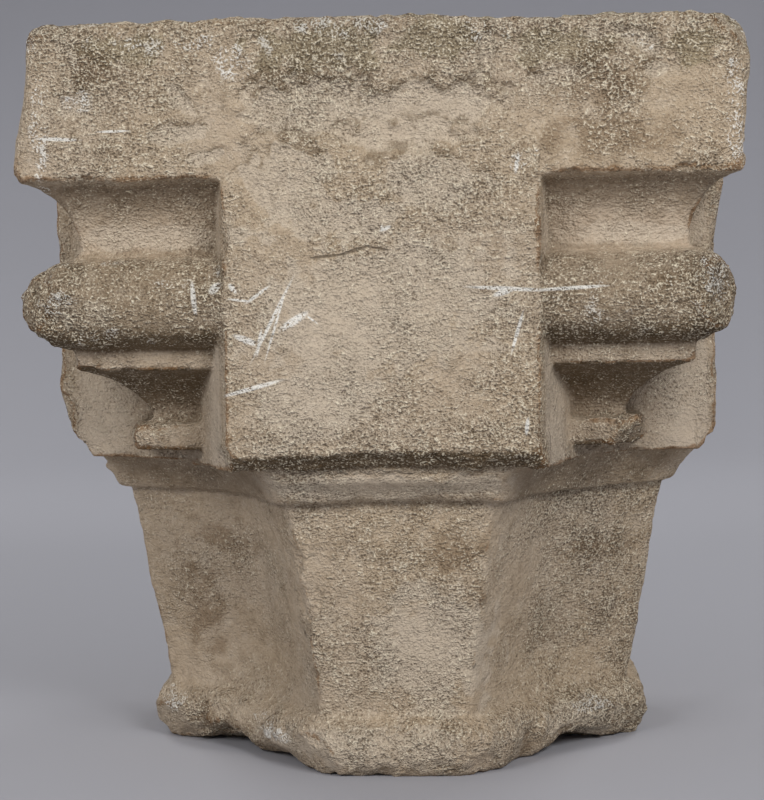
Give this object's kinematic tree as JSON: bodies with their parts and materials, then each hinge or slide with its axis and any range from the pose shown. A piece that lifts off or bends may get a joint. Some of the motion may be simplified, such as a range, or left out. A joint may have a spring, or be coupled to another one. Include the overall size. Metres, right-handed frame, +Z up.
{
  "type": "stone capital",
  "caption": "Moulded medieval capital in worn buff limestone: square abacus with a plain boss on each side, rolls and hollows round the corners, and a tapering cruciform bell.",
  "frame": {"origin": "centre of the lower bed, on which the stone stands, under the middle of the abacus", "axes": "+Z up along the axis of the shaft, -Y out of the front face, +X to the viewer's right"},
  "size_m": [0.325, 0.325, 0.3499],
  "materials": {
    "limestone": "tooled and weathered, matt, with crumbled edges, chips, stains and pale scratches"
  },
  "bodies": {
    "root": {"capital": "limestone"}
  },
  "joints": []
}
